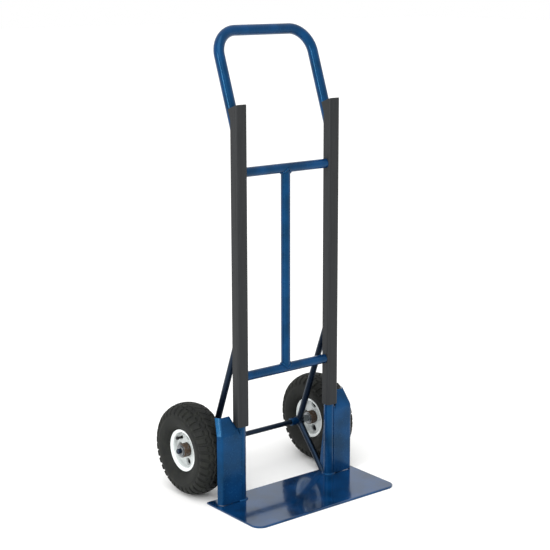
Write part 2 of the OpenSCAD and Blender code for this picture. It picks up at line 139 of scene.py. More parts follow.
class Colours(PropertyGroup):
    """Base colours of the finishes."""

    blue: colour("Blue", "Blue enamel of the frame", "#021e3c")
    blue_thin: colour("Thin blue", "Blue enamel where it lies thin", "#05335f")
    black: colour("Black", "Black enamel of the axle and braces", "#010309")
    cover: colour("Cover", "Upright covers", "#1b1d1f")
    rubber: colour("Rubber", "Tyre rubber", "#0a0d0c")
    dust: colour("Dust", "Dry dust on the rubber", "#23251f")
    rim: colour("Rim", "White enamel of the rims", "#dfe5e4")
    # This colour is painted shade in the rims' pockets and dished discs, and real grime in the stain patches of the
    # zinc and black oxide fasteners.
    grime_and_pocket_shade: colour("Grime", "Dark grime in the rim's pockets", "#191a17")
    oxide: colour("Oxide", "Brown oxide on the turned hub", "#4b3b2e")
    zinc: colour("Zinc", "Zinc plating of the fasteners", "#8d9194")
    steel: colour("Steel", "Ground bearing steel", "#7d8184")
    oxide_black: colour("Black oxide", "Black oxide of the rim's bolts and nuts", "#17181a")
    floor: colour("Floor", "Studio floor", "#f6f6f5")


# ---- surfaces ------------------------------------------------------------------------------------


def unit(vectors):
    """Vectors scaled to length one."""
    return vectors / np.linalg.norm(vectors, axis=-1, keepdims=True)


def filleted(corners, radii, step=6):
    """Straight runs joined by arcs: every inner corner gives way to an arc of its radius that touches
    both runs, cut about every `step` degrees. A radius of 0 keeps the corner."""
    corners = np.asarray(corners, float)
    parts = [corners[:1]]
    for before, corner, after, radius in zip(corners, corners[1:], corners[2:], radii):
        if radius <= 0:
            parts.append(corner[None])
            continue
        back, ahead = unit(before - corner), unit(after - corner)
        half = math.acos(np.clip(back @ ahead, -1, 1)) / 2
        centre = corner + unit(back + ahead) * radius / math.sin(half)
        start = corner + back * radius / math.tan(half) - centre
        end = corner + ahead * radius / math.tan(half) - centre
        swing = math.pi - 2 * half
        share = np.linspace(0, 1, max(3, math.ceil(math.degrees(swing) / step) + 1))[:, None]
        arc = start * np.sin((1 - share) * swing) + end * np.sin(share * swing)
        parts.append(centre + arc / math.sin(swing))
    parts.append(corners[-1:])
    return np.concatenate(parts)


def circle(radius, sides):
    """Points round a circle in a section's own plane."""
    turn = np.linspace(0, 2 * math.pi, sides, endpoint=False)
    return radius * np.stack([np.cos(turn), np.sin(turn)], 1)


def carried(path, section, reference, scale=None, closed=False):
    """A flat section carried along a path: at each point it stands square to the mean of the two runs
    that meet there, its second axis turned as near the reference direction as it goes, and it may
    be scaled point by point."""
    path = np.asarray(path, float)
    runs = unit(np.roll(path, -1, 0) - path)
    if closed:
        along = unit(runs + np.roll(runs, 1, 0))
    else:
        along = unit(np.concatenate([runs[:1], runs[:-2] + runs[1:-1], runs[-2:-1]]))
    reference = np.broadcast_to(np.asarray(reference, float), path.shape)
    up = unit(reference - (along * reference).sum(1, keepdims=True) * along)
    side = np.cross(up, along)
    size = np.ones(len(path)) if scale is None else scale
    flat = section[None] * size[:, None, None]
    return path[:, None] + flat[..., :1] * side[:, None] + flat[..., 1:] * up[:, None]


def turned(profile, centre, out, sides, phase=0.0):
    """A profile of (distance outboard, radius) pairs turned about the axle line through centre."""
    profile = np.asarray(profile, float)
    turn = np.linspace(0, 2 * math.pi, sides, endpoint=False)[:, None] + phase
    x = np.broadcast_to(centre[0] + out * profile[:, 0], (sides, len(profile)))
    return np.stack([x, centre[1] + profile[:, 1] * np.cos(turn), centre[2] + profile[:, 1] * np.sin(turn)], -1)


def skin(grid, rows_meet=False, columns_meet=True, ends=True):
    """Faces of a grid of points: a quad between each four neighbours, joined round where the rows or
    columns meet, and one flat face over each open end."""
    rows, columns = grid.shape[:2]
    index = np.arange(rows * columns).reshape(rows, columns)
    rim = [index[0], index[-1][::-1]] if ends and not rows_meet else []
    if rows_meet:
        index = np.vstack([index, index[:1]])
    if columns_meet:
        index = np.hstack([index, index[:, :1]])
    quads = np.stack([index[:-1, :-1], index[:-1, 1:], index[1:, 1:], index[1:, :-1]], -1)
    return grid.reshape(-1, 3), quads.reshape(-1, 4), rim


def slab(front, back):
    """A sheet between two grids that match point for point: both faces and the four edges."""
    rows, columns = front.shape[:2]
    a = np.arange(rows * columns).reshape(rows, columns)
    b = a + rows * columns
    quads = [np.stack([g[:-1, :-1], g[:-1, 1:], g[1:, 1:], g[1:, :-1]], -1).reshape(-1, 4) for g in (a, b)]
    for p, q in ((a[0], b[0]), (a[-1], b[-1]), (a[:, 0], b[:, 0]), (a[:, -1], b[:, -1])):
        quads.append(np.stack([p[:-1], p[1:], q[1:], q[:-1]], -1))
    return np.concatenate([front.reshape(-1, 3), back.reshape(-1, 3)]), np.concatenate(quads), []


def make_piece(name, skins, finish, body, replaced=(), crease=38):
    """One object from skins: its normals point outwards, its sharp edges are those over the crease
    angle, it rides on a body and it may stand for nodes of the frame."""
    start = np.cumsum([0] + [len(points) for points, _, _ in skins])
    faces = []
    for first, (_, quads, rims) in zip(start, skins):
        faces += (quads + first).tolist() + [(rim + first).tolist() for rim in rims]
    mesh = bpy.data.meshes.new(name)
    mesh.from_pydata(np.concatenate([points for points, _, _ in skins]), [], faces)
    work = bmesh.new()
    work.from_mesh(mesh)
    bmesh.ops.recalc_face_normals(work, faces=work.faces)
    work.to_mesh(mesh)
    work.free()
    mesh.shade_smooth()
    mesh.set_sharp_from_angle(angle=math.radians(crease))
    mesh.materials.append(finish)
    piece = bpy.data.objects.new(name, mesh)
    bpy.context.scene.collection.objects.link(piece)
    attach(piece, body)
    if replaced:
        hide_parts(*replaced)
    return piece


def break_edges(piece, width, segments=3):
    """Rounds a piece's sharp edges, as a press or a file does."""
    bevel = piece.modifiers.new("broken edges", "BEVEL")
    bevel.width = width
    bevel.segments = segments
    bevel.limit_method = "ANGLE"
    bevel.angle_limit = math.radians(40)
    bevel.harden_normals = True


def dress(nodes, finish):
    """Gives nodes of the frame a finish."""
    for name in nodes:
        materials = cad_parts[name].data.materials
        materials.clear()
        materials.append(finish)


def smooth_step(low_edge, high_edge, value):
    """0 below the low edge, 1 above the high edge, and a cubic ease between them."""
    share = np.clip((value - low_edge) / (high_edge - low_edge), 0, 1)
    return share * share * (3 - 2 * share)


# ---- finishes ------------------------------------------------------------------------------------


def add(tree, kind, settings=None, links=None):
    """Adds a node, sets its properties, and sets or links its inputs by name or number."""
    node = tree.nodes.new(kind)
    for key, value in (settings or {}).items():
        setattr(node, key, value)
    for key, value in (links or {}).items():
        if isinstance(value, bpy.types.NodeSocket):
            tree.links.new(value, node.inputs[key])
        else:
            node.inputs[key].default_value = value
    return node


def opaque(rgb):
    return (*rgb, 1.0)


def new_finish(name):
    """A material with a Principled shader: the material, its tree, shader and Object coordinates."""
    finish = bpy.data.materials.new(name)
    finish.use_nodes = True
    tree = finish.node_tree
    shader = tree.nodes["Principled BSDF"]
    place = add(tree, "ShaderNodeTexCoord").outputs["Object"]
    return finish, tree, shader, place


def powder_coat(name, deep, thin, roughness, coat, peel_depth):
    """Sprayed and baked flake enamel on steel: an even gloss with a faint orange peel of about 3 mm,
    a slow drift between thick and thin film, fine rub marks that only dull the gloss, and
    highlights that take the film's own hue, half as deep, as flakes under a clear coat do."""
    finish, tree, shader, place = new_finish(name)
    peel = add(tree, "ShaderNodeTexNoise", links={"Vector": place, "Scale": 1 / (3 * MM), "Detail": 1.5})
    drift = add(tree, "ShaderNodeTexNoise", links={"Vector": place, "Scale": 1 / (70 * MM), "Detail": 4})
    rub = add(
        tree,
        "ShaderNodeTexNoise",
        links={"Vector": place, "Scale": 1 / (9 * MM), "Detail": 6, "Roughness": 0.7, "Distortion": 1.5},
    )
    film = add(
        tree,
        "ShaderNodeMapRange",
        links={"Value": drift.outputs["Fac"], "From Min": 0.35, "From Max": 0.68},
    )
    tint = add(
        tree,
        "ShaderNodeMix",
        {"data_type": "RGBA"},
        {0: film.outputs["Result"], 6: opaque(deep), 7: opaque(thin)},
    )
    gloss = add(
        tree,
        "ShaderNodeMapRange",
        links={
            "Value": rub.outputs["Fac"],
            "From Min": 0.45,
            "From Max": 0.75,
            "To Min": roughness,
            "To Max": roughness + 0.16,
        },
    )
    relief = add(
        tree,
        "ShaderNodeBump",
        links={"Height": peel.outputs["Fac"], "Strength": 0.5, "Distance": peel_depth},
    )
    tree.links.new(tint.outputs[2], shader.inputs["Base Color"])
    tree.links.new(gloss.outputs["Result"], shader.inputs["Roughness"])
    tree.links.new(relief.outputs["Normal"], shader.inputs["Normal"])
    tree.links.new(relief.outputs["Normal"], shader.inputs["Coat Normal"])
    shader.inputs["Coat Weight"].default_value = coat
    shader.inputs["Coat Roughness"].default_value = 0.06
    shader.inputs["IOR"].default_value = 1.5
    shader.inputs["Specular Tint"].default_value = opaque(np.sqrt(np.array(thin) / max(thin)))
    return finish


def moulded_plastic(name, base, roughness, grain):
    """Black or grey polypropylene from a spark-eroded mould: a fine matt grain, pale rub marks that
    run along the length, and slightly uneven shine."""
    finish, tree, shader, place = new_finish(name)
    stretch = add(tree, "ShaderNodeMapping", links={"Vector": place, "Scale": (1, 1, 0.06)})
    grit = add(tree, "ShaderNodeTexNoise", links={"Vector": place, "Scale": 1 / grain, "Detail": 2})
    streak = add(
        tree,
        "ShaderNodeTexNoise",
        links={"Vector": stretch.outputs["Vector"], "Scale": 1 / (5 * MM), "Detail": 5, "Roughness": 0.65},
    )
    mark = add(
        tree,
        "ShaderNodeMapRange",
        links={"Value": streak.outputs["Fac"], "From Min": 0.4, "From Max": 0.8, "To Max": 0.5},
    )
    tint = add(
        tree,
        "ShaderNodeMix",
        {"data_type": "RGBA"},
        {
            0: mark.outputs["Result"],
            6: opaque(base),
            7: opaque(tuple(min(1, 1.9 * c + 0.01) for c in base)),
        },
    )
    gloss = add(
        tree,
        "ShaderNodeMapRange",
        links={
            "Value": streak.outputs["Fac"],
            "From Min": 0.3,
            "From Max": 0.7,
            "To Min": roughness - 0.06,
            "To Max": roughness + 0.1,
        },
    )
    relief = add(
        tree,
        "ShaderNodeBump",
        links={"Height": grit.outputs["Fac"], "Strength": 0.35, "Distance": 0.15 * MM},
    )
    tree.links.new(tint.outputs[2], shader.inputs["Base Color"])
    tree.links.new(gloss.outputs["Result"], shader.inputs["Roughness"])
    tree.links.new(relief.outputs["Normal"], shader.inputs["Normal"])
    shader.inputs["IOR"].default_value = 1.49
    shader.inputs["Specular IOR Level"].default_value = 0.3
    return finish


def tyre_rubber(name, base, dust):
    """Vulcanised carbon-black rubber: matt, a little dusty in patches, with the fine pits of the
    mould."""
    finish, tree, shader, place = new_finish(name)
    pits = add(tree, "ShaderNodeTexNoise", links={"Vector": place, "Scale": 1 / (1.6 * MM), "Detail": 3})
    patch = add(
        tree,
        "ShaderNodeTexNoise",
        links={"Vector": place, "Scale": 1 / (22 * MM), "Detail": 6, "Roughness": 0.7},
    )
    cover = add(
        tree,
        "ShaderNodeMapRange",
        links={"Value": patch.outputs["Fac"], "From Min": 0.42, "From Max": 0.72, "To Max": 0.75},
    )
    tint = add(
        tree,
        "ShaderNodeMix",
        {"data_type": "RGBA"},
        {0: cover.outputs["Result"], 6: opaque(base), 7: opaque(dust)},
    )
    gloss = add(
        tree,
        "ShaderNodeMapRange",
        links={"Value": patch.outputs["Fac"], "To Min": 0.5, "To Max": 0.85},
    )
    relief = add(
        tree,
        "ShaderNodeBump",
        links={"Height": pits.outputs["Fac"], "Strength": 0.6, "Distance": 0.3 * MM},
    )
    tree.links.new(tint.outputs[2], shader.inputs["Base Color"])
    tree.links.new(gloss.outputs["Result"], shader.inputs["Roughness"])
    tree.links.new(relief.outputs["Normal"], shader.inputs["Normal"])
    shader.inputs["IOR"].default_value = 1.52
    shader.inputs["Specular IOR Level"].default_value = 0.25
    return finish


def rim_enamel_with_painted_shade(name, base, grime_and_pocket_shade, wheel_x, reach):
    """Stoved white enamel on pressed steel: bright and glossy on the lip, with painted shade that greys
    the dished disc and turns black where the pockets reach the wheel's middle plane, and a few dirt specks."""
    finish, tree, shader, place = new_finish(name)
    parts = add(tree, "ShaderNodeSeparateXYZ", links={"Vector": place})
    across = add(tree, "ShaderNodeMath", {"operation": "ABSOLUTE"}, {0: parts.outputs["X"]})
    depth = add(tree, "ShaderNodeMath", {"operation": "SUBTRACT"}, {0: across.outputs[0], 1: wheel_x})
    inset = add(tree, "ShaderNodeMath", {"operation": "ABSOLUTE"}, {0: depth.outputs[0]})
    patch = add(
        tree,
        "ShaderNodeTexNoise",
        links={"Vector": place, "Scale": 1 / (8 * MM), "Detail": 5, "Roughness": 0.65},
    )
    # Painted shade: near black where the pockets sink towards the wheel's middle plane.
    film = add(
        tree,
        "ShaderNodeMapRange",
        {"interpolation_type": "SMOOTHSTEP"},
        {"Value": inset.outputs[0], "From Min": 0.35 * reach, "From Max": reach, "To Min": 0.97, "To Max": 0},
    )
    # Painted shade: grey over the dished disc, which lies deeper than the lip, fading out towards the lip.
    disc_shade = add(
        tree,
        "ShaderNodeMapRange",
        {"interpolation_type": "SMOOTHSTEP"},
        {"Value": inset.outputs[0], "From Min": 1.4 * reach, "From Max": 2.9 * reach, "To Min": 0.3, "To Max": 0},
    )
    speck = add(
        tree,
        "ShaderNodeMapRange",
        links={"Value": patch.outputs["Fac"], "From Min": 0.5, "From Max": 0.85, "To Max": 0.22},
    )
    # Painted shade: the darker of the pocket shade and the disc shade.
    deep = add(
        tree, "ShaderNodeMath", {"operation": "MAXIMUM"}, {0: film.outputs["Result"], 1: disc_shade.outputs["Result"]}
    )
    # Painted shade of the pockets and disc, with real dirt specks laid over it.
    both = add(tree, "ShaderNodeMath", {"operation": "MAXIMUM"}, {0: deep.outputs[0], 1: speck.outputs["Result"]})
    tint = add(
        tree,
        "ShaderNodeMix",
        {"data_type": "RGBA"},
        {0: both.outputs[0], 6: opaque(base), 7: opaque(grime_and_pocket_shade)},
    )
    gloss = add(
        tree, "ShaderNodeMapRange", links={"Value": both.outputs[0], "To Min": 0.22, "To Max": 0.7}
    )
    relief = add(
        tree, "ShaderNodeBump", links={"Height": patch.outputs["Fac"], "Strength": 0.2, "Distance": 0.1 * MM}
    )
    tree.links.new(tint.outputs[2], shader.inputs["Base Color"])
    tree.links.new(gloss.outputs["Result"], shader.inputs["Roughness"])
    tree.links.new(relief.outputs["Normal"], shader.inputs["Normal"])
    shader.inputs["Coat Weight"].default_value = 0.5
    shader.inputs["Coat Roughness"].default_value = 0.08
    return finish


def bare_metal(name, base, stain, roughness, stained, grain):
    """Turned or plated steel: metallic, with fine tool marks and a stain of oxide or grease that
    covers the given share and hides the metal's shine."""
    finish, tree, shader, place = new_finish(name)
    patch = add(
        tree,
        "ShaderNodeTexNoise",
        links={"Vector": place, "Scale": 1 / (7 * MM), "Detail": 6, "Roughness": 0.7},
    )
    marks = add(tree, "ShaderNodeTexNoise", links={"Vector": place, "Scale": 1 / grain, "Detail": 3})
    film = add(
        tree,
        "ShaderNodeMapRange",
        links={"Value": patch.outputs["Fac"], "From Min": 0.75 - stained / 2, "From Max": 0.95 - stained / 2},
    )
    tint = add(
        tree,
        "ShaderNodeMix",
        {"data_type": "RGBA"},
        {0: film.outputs["Result"], 6: opaque(base), 7: opaque(stain)},
    )
    shine = add(
        tree, "ShaderNodeMapRange", links={"Value": film.outputs["Result"], "To Min": 1, "To Max": 0.25}
    )
    gloss = add(
        tree,
        "ShaderNodeMapRange",
        links={"Value": patch.outputs["Fac"], "To Min": roughness - 0.08, "To Max": roughness + 0.2},
    )
    relief = add(
        tree, "ShaderNodeBump", links={"Height": marks.outputs["Fac"], "Strength": 0.4, "Distance": 0.08 * MM}
    )
    tree.links.new(tint.outputs[2], shader.inputs["Base Color"])
    tree.links.new(shine.outputs["Result"], shader.inputs["Metallic"])
    tree.links.new(gloss.outputs["Result"], shader.inputs["Roughness"])
    tree.links.new(relief.outputs["Normal"], shader.inputs["Normal"])
    return finish


def floor_paint(name, base):
    """Matt white studio paint: even, with a hardly visible roller texture of a few millimetres."""
    finish, tree, shader, place = new_finish(name)
    roller = add(tree, "ShaderNodeTexNoise", links={"Vector": place, "Scale": 1 / (5 * MM), "Detail": 2})
    tint = add(
        tree,
        "ShaderNodeMix",
        {"data_type": "RGBA"},
        {0: roller.outputs["Fac"], 6: opaque(base), 7: opaque(tuple(0.985 * c for c in base))},
    )
    tree.links.new(tint.outputs[2], shader.inputs["Base Color"])
    shader.inputs["Roughness"].default_value = 0.9
    shader.inputs["Specular IOR Level"].default_value = 0.1
    return finish


def finish_named(name):
    """The named finish, made the first time that it is asked for."""
    ready = bpy.data.materials.get(name)
    if ready:
        return ready
    c = bpy.context.scene.hand_truck_colours
    makers = {
        "gloss blue powder coat": lambda n: powder_coat(n, c.blue, c.blue_thin, 0.2, 0.06, 0.02 * MM),
        "plate blue powder coat": lambda n: powder_coat(n, c.blue, c.blue_thin, 0.1, 0.35, 0.006 * MM),
        "black stoved enamel": lambda n: powder_coat(
            n, c.black, tuple(1.3 * x for x in c.black), 0.38, 0.02, 0.03 * MM
        ),
        "grained grey polypropylene": lambda n: moulded_plastic(n, c.cover, 0.5, 1.2 * MM),
        "black polypropylene": lambda n: moulded_plastic(n, c.black, 0.42, 1.0 * MM),
        "vulcanised tyre rubber": lambda n: tyre_rubber(n, c.rubber, c.dust),
        "butyl tube rubber": lambda n: tyre_rubber(n, c.rubber, c.rubber),
        # The rims' white enamel carries painted shade in its pockets and on its dished disc.
        "white stoved enamel with painted shade": lambda n: rim_enamel_with_painted_shade(n, c.rim, c.grime_and_pocket_shade, middle("right_tyre")[0], 8.5 * MM),
        "turned steel with brown oxide": lambda n: bare_metal(n, c.steel, c.oxide, 0.45, 0.95, 0.7 * MM),
        "ground bearing steel": lambda n: bare_metal(n, c.steel, c.oxide, 0.3, 0.35, 0.5 * MM),
        "bright zinc plate": lambda n: bare_metal(n, c.zinc, c.grime_and_pocket_shade, 0.32, 0.25, 0.9 * MM),
        "black oxide steel": lambda n: bare_metal(n, c.oxide_black, c.grime_and_pocket_shade, 0.45, 0.3, 0.9 * MM),
        "matt white floor paint": lambda n: floor_paint(n, c.floor),
    }
    return makers[name](name)


BLUE, PLATE_BLUE, BLACK = "gloss blue powder coat", "plate blue powder coat", "black stoved enamel"
GREY_PLASTIC, BLACK_PLASTIC = "grained grey polypropylene", "black polypropylene"
RUBBER, TUBE_RUBBER, RIM_WHITE_WITH_SHADE = "vulcanised tyre rubber", "butyl tube rubber", "white stoved enamel with painted shade"
OXIDE, STEEL, ZINC = "turned steel with brown oxide", "ground bearing steel", "bright zinc plate"
BLACK_OXIDE, FLOOR = "black oxide steel", "matt white floor paint"


# ---- shared places -------------------------------------------------------------------------------

AXLE = middle("axle")
PLATE_TOP = high("toe_plate")[2]
UPRIGHT_X = high("frame_tube")[0] + low("frame_tube")[1]


def rod(start, end, radius, sides=32, runs=2):
    """A round bar: a circle carried along a straight line cut into equal runs."""
    path = np.linspace(start, end, runs + 1)
    across = (1, 0, 0) if abs(path[-1, 0] - path[0, 0]) < MM else (0, 1, 0)
    return carried(path, circle(radius, sides), across)


def bead(path, radius, reference, closed=True):
    """A weld bead: a circle carried along the seam, its size rippling every few millimetres as the
    welder's drops do, and drifting a little."""
    rng = np.random.default_rng(SEED + len(path))
    step = np.linalg.norm(np.diff(path, axis=0), axis=1).mean()
    place = np.arange(len(path)) * step
    ripple = 1 + 0.13 * np.abs(np.sin(place * math.pi / (4.2 * MM))) + 0.05 * rng.standard_normal(len(path))
    grid = carried(path, circle(radius, 10), reference, ripple, closed)
    return skin(grid, rows_meet=closed, ends=not closed)


# ---- operators -----------------------------------------------------------------------------------


class BentFrame(Operator):
    """The frame tube: one circle carried up an upright, back through the lean, over both corners of
    the handle and down again."""

    bl_idname = "hand_truck.bent_frame"
    bl_label = "Bent frame tube"

    def execute(self, context):
        size = context.scene.hand_truck_tubes
        top = high("frame_tube")
        grip_z = top[2] - size.tube_r
        grip_y = top[1] - size.tube_r
        foot = PLATE_TOP
        corners = [
            (-UPRIGHT_X, 0, foot),
            (-UPRIGHT_X, 0, size.lean_z),
            (-UPRIGHT_X, grip_y, grip_z),
            (UPRIGHT_X, grip_y, grip_z),
            (UPRIGHT_X, 0, size.lean_z),
            (UPRIGHT_X, 0, foot),
        ]
        path = filleted(corners, [size.bend_r, size.corner_r, size.corner_r, size.bend_r], 2.5)
        grid = carried(path, circle(size.tube_r, 56), (0, 1, 0))
        make_piece("bent_frame_tube", [skin(grid)], finish_named(BLUE), "frame", ["frame_tube"])
        return {"FINISHED"}


class Crossbars(Operator):
    """The two crossbars and the strut: circles carried along straight lines that end inside the tubes
    they are welded to."""

    bl_idname = "hand_truck.crossbars"
    bl_label = "Crossbars and strut"

    def execute(self, context):
        blue = finish_named(BLUE)
        for name in ("upper_crossbar", "lower_crossbar"):
            centre = middle(name)
            radius = (high(name)[2] - low(name)[2]) / 2
            reach = np.array([UPRIGHT_X - radius / 2, 0, 0])
            grid = rod(centre - reach, centre + reach, radius, 48, 12)
            make_piece(name + "_tube", [skin(grid)], blue, "frame", [name])
        bar_r = (high("centre_strut")[0] - low("centre_strut")[0]) / 2
        start, end = middle("lower_crossbar"), middle("upper_crossbar")
        grid = rod(start, end, bar_r, 48, 12)
        make_piece("centre_strut_tube", [skin(grid)], blue, "frame", ["centre_strut"])
        return {"FINISHED"}


def saddle(centre, bar_r, host_r, sides=72):
    """The seam where an upright bar of one radius meets a level one of another: round the bar, the
    seam's height follows the host's circle."""
    turn = np.linspace(0, 2 * math.pi, sides, endpoint=False)
    y = bar_r * np.sin(turn)
    drop = np.sqrt(np.maximum(host_r**2 - y**2, 0))
    return centre + np.stack([bar_r * np.cos(turn), y, drop], 1)


class WeldBeads(Operator):
    """Fillet welds: rippled beads along the seams of the strut, the tube feet, the guards, the
    gussets and the braces."""

    bl_idname = "hand_truck.weld_beads"
    bl_label = "Weld beads"

    def execute(self, context):
        size = context.scene.hand_truck_tubes
        bar_r = (high("centre_strut")[0] - low("centre_strut")[0]) / 2
        host_r = (high("upper_crossbar")[2] - low("upper_crossbar")[2]) / 2
        blue_seams = []
        for name, way in (("lower_crossbar", 1), ("upper_crossbar", -1)):
            seam = saddle(np.zeros(3), bar_r + 0.3 * MM, host_r + 0.3 * MM)
            blue_seams.append(bead(middle(name) + seam * (1, 1, way), size.bead_r, (1, 0.3, 0.2)))
        black_seams = []
        for side, out in SIDES.items():
            foot = circle(size.tube_r + 0.8 * MM, 80)
            ring = np.column_stack([out * UPRIGHT_X + foot[:, 0], foot[:, 1], np.full(80, PLATE_TOP)])
            blue_seams.append(bead(ring, size.bead_r * 1.15, (0, 0, 1)))
            guard = side + "_wheel_guard"
            seam_x = min(abs(low(guard)[0]), abs(high(guard)[0])) * out
            seam_z = np.linspace(PLATE_TOP + 3 * MM, low(side + "_upright_cover")[2] - 8 * MM, 60)
            seam_y = low(guard)[1] + 1.2 * MM
            line = np.column_stack([np.full(60, seam_x - out * 0.5 * MM), np.full(60, seam_y), seam_z])
            blue_seams.append(bead(line, size.bead_r * 0.55, (0, 1, 0), closed=False))
            gusset = side + "_foot_gusset"
            gusset_mid, gusset_top = middle(gusset), high(gusset)
            for face in (-1, 1):
                x = gusset_mid[0] + face * (gusset_top[0] - gusset_mid[0])
                y = low(gusset)[1]
                z = np.linspace(PLATE_TOP + 4 * MM, gusset_top[2] - 2 * MM, 50)
                line = np.column_stack([np.full(50, x), np.full(50, y), z])
                blue_seams.append(bead(line, size.bead_r * 0.6, (1, 0, 0), closed=False))
            sleeve_r = (high(side + "_axle_boss")[2] - low(side + "_axle_boss")[2]) / 2
            for name in ("_upper_brace", "_lower_brace"):
                up = 1 if name == "_upper_brace" else -1
                reach = np.array([0, -AXLE[1], (high(side + "_upper_brace")[2] - AXLE[2])])
                if up < 0:
                    reach = np.array([0, low(side + "_lower_brace")[1] - AXLE[1], PLATE_TOP - AXLE[2]])
                way = unit(reach)
                flat = circle(size.brace_r + 0.3 * MM, 48)
                aside = np.array([1.0, 0, 0])
                other = np.cross(way, aside)
                seam = flat[:, :1] * aside + flat[:, 1:] * other
                rise = np.sqrt(np.maximum((sleeve_r + 0.5 * MM) ** 2 - flat[:, 1] ** 2, 0))
                seam = seam + rise[:, None] * way + np.array([out * UPRIGHT_X, AXLE[1], AXLE[2]])
                black_seams.append(bead(seam, size.bead_r * 0.8, (1, 0.2, 0.1)))
        make_piece("frame_weld_beads", blue_seams, finish_named(BLUE), "frame", (), 80)
        make_piece("brace_weld_beads", black_seams, finish_named(BLACK), "frame", (), 80)
        return {"FINISHED"}


class ToePlate(Operator):
    """The toe plate: its outline, rounded at the front corners, is drawn inwards ring by ring while its
    height rises round the edge, over the ground front slope and onto the flat."""

    bl_idname = "hand_truck.toe_plate"
    bl_label = "Toe plate"

    def outline(self, inset, front_r, back_r):
        """A rectangle with rounded corners, moved inwards; arcs and runs keep their point counts."""
        corner_low, corner_high = low("toe_plate") + inset, high("toe_plate") - inset
        points = []
        spots = ((1, 1, back_r, 0), (-1, 1, back_r, 90), (-1, -1, front_r, 180), (1, -1, front_r, 270))
        for x_way, y_way, radius, first in spots:
            r = max(radius - inset, 0.2 * MM)
            cx = corner_high[0] - r if x_way > 0 else corner_low[0] + r
            cy = corner_high[1] - r if y_way > 0 else corner_low[1] + r
            turn = np.radians(first + np.linspace(0, 90, 15))
            points.append(np.stack([cx + r * np.cos(turn), cy + r * np.sin(turn)], 1))
        return np.concatenate(points)

    def execute(self, context):
        size = context.scene.hand_truck_sheets
        front = low("toe_plate")[1]
        thick = PLATE_TOP
        slope_drop = 1.0 * MM
        edge = 0.9 * MM
        rows = [(edge, 0.0), (0.3 * edge, 0.09), (0.0, 0.28), (0.0, 0.72), (0.3 * edge, 0.92), (edge, 1.0)]
        rows += [(inset * MM, 1.0) for inset in (1.6, 2.8, 3.7, 4.3, 8, 14, 22, 32, 45, 60, 80, 100)]
        grid = []
        for inset, share in rows:
            flat = self.outline(inset, size.plate_corner_r, 2.5 * MM)
            fall = np.clip((size.plate_bevel - (flat[:, 1] - front)) / size.plate_bevel, 0, 1)
            grid.append(np.column_stack([flat, (thick - slope_drop * fall) * share]))
        make_piece(
            "steel_toe_plate", [skin(np.array(grid))], finish_named(PLATE_BLUE), "frame", ["toe_plate"]
        )
        return {"FINISHED"}


class UprightCovers(Operator):
    """The upright covers: a channel with a rounded front outside and a half round inside, drawn
    straight up. Near the top the rear edges run along the leaning tube, as far in front of its centre
    line as they lie behind it lower down, and the top is cut square to that lean."""

    bl_idname = "hand_truck.upright_covers"
    bl_label = "Upright covers"

    def sections(self, half, back, wall, corner_r):
        """Outer and inner line of the channel, point for point, from one rear edge to the other."""
        side_run = np.linspace(0, 1, 6)[:-1]
        turn = np.radians(np.linspace(180, 270, 9))
        left = np.stack([np.full(5, -half), back + side_run * (corner_r - half - back)], 1)
        corner = np.stack([corner_r - half + corner_r * np.cos(turn), corner_r - half + corner_r * np.sin(turn)], 1)
        flat = np.stack([np.linspace(corner_r - half, half - corner_r, 10)[1:-1], np.full(8, -half)], 1)
        outer = np.concatenate([left, corner, flat, corner[::-1] * (-1, 1), left[::-1] * (-1, 1)])
        slot = half - wall
        inner_left = np.stack([np.full(5, -slot), back * (1 - side_run)], 1)
        round_turn = np.radians(np.linspace(180, 360, len(outer) - 10))
        hollow = slot * np.stack([np.cos(round_turn), np.sin(round_turn)], 1)
        inner = np.concatenate([inner_left, hollow, inner_left[::-1] * (-1, 1)])
        share = np.concatenate([1 - side_run, np.zeros(len(outer) - 10), 1 - side_run[::-1]])
        return outer, inner, share

    def swept(self, z, lean_z, back, lean):
        """How far a side's rear edge has moved back at a height: nothing until the leaning centre line
        is twice the cover's own reach behind the uprights, then as the lean goes."""
        return np.maximum((z - lean_z) * math.tan(lean) - 2 * back, 0)

    def execute(self, context):
        size, tubes = context.scene.hand_truck_sheets, context.scene.hand_truck_tubes
        grip = high("frame_tube") - tubes.tube_r
        lean = math.atan2(grip[1], grip[2] - tubes.lean_z)
        for side, out in SIDES.items():
            node = side + "_upright_cover"
            bottom, top = low(node), high(node)
            half = (top[0] - bottom[0]) / 2
            outer, inner, share = self.sections(half, size.cover_back, size.cover_wall, size.cover_corner_r)
            grids = []
            for line in (outer, inner):
                end = np.full(len(line), top[2])
                for _ in range(5):
                    drawn = share * self.swept(end, tubes.lean_z, size.cover_back, lean)
                    end = top[2] - math.tan(lean) * (line[:, 1] + drawn + half)
                z = bottom[2] + np.linspace(0, 1, 90)[:, None] * (end - bottom[2])
                x = np.broadcast_to(out * UPRIGHT_X + line[:, 0], z.shape)
                y = line[:, 1] + share * self.swept(z, tubes.lean_z, size.cover_back, lean)
                grids.append(np.stack([x, y, z], -1))
            piece = make_piece(
                side + "_cover_moulding",
                [slab(*grids)],
                finish_named(GREY_PLASTIC),
                "frame",
                [node],
            )
            break_edges(piece, 1.0 * MM)
        return {"FINISHED"}


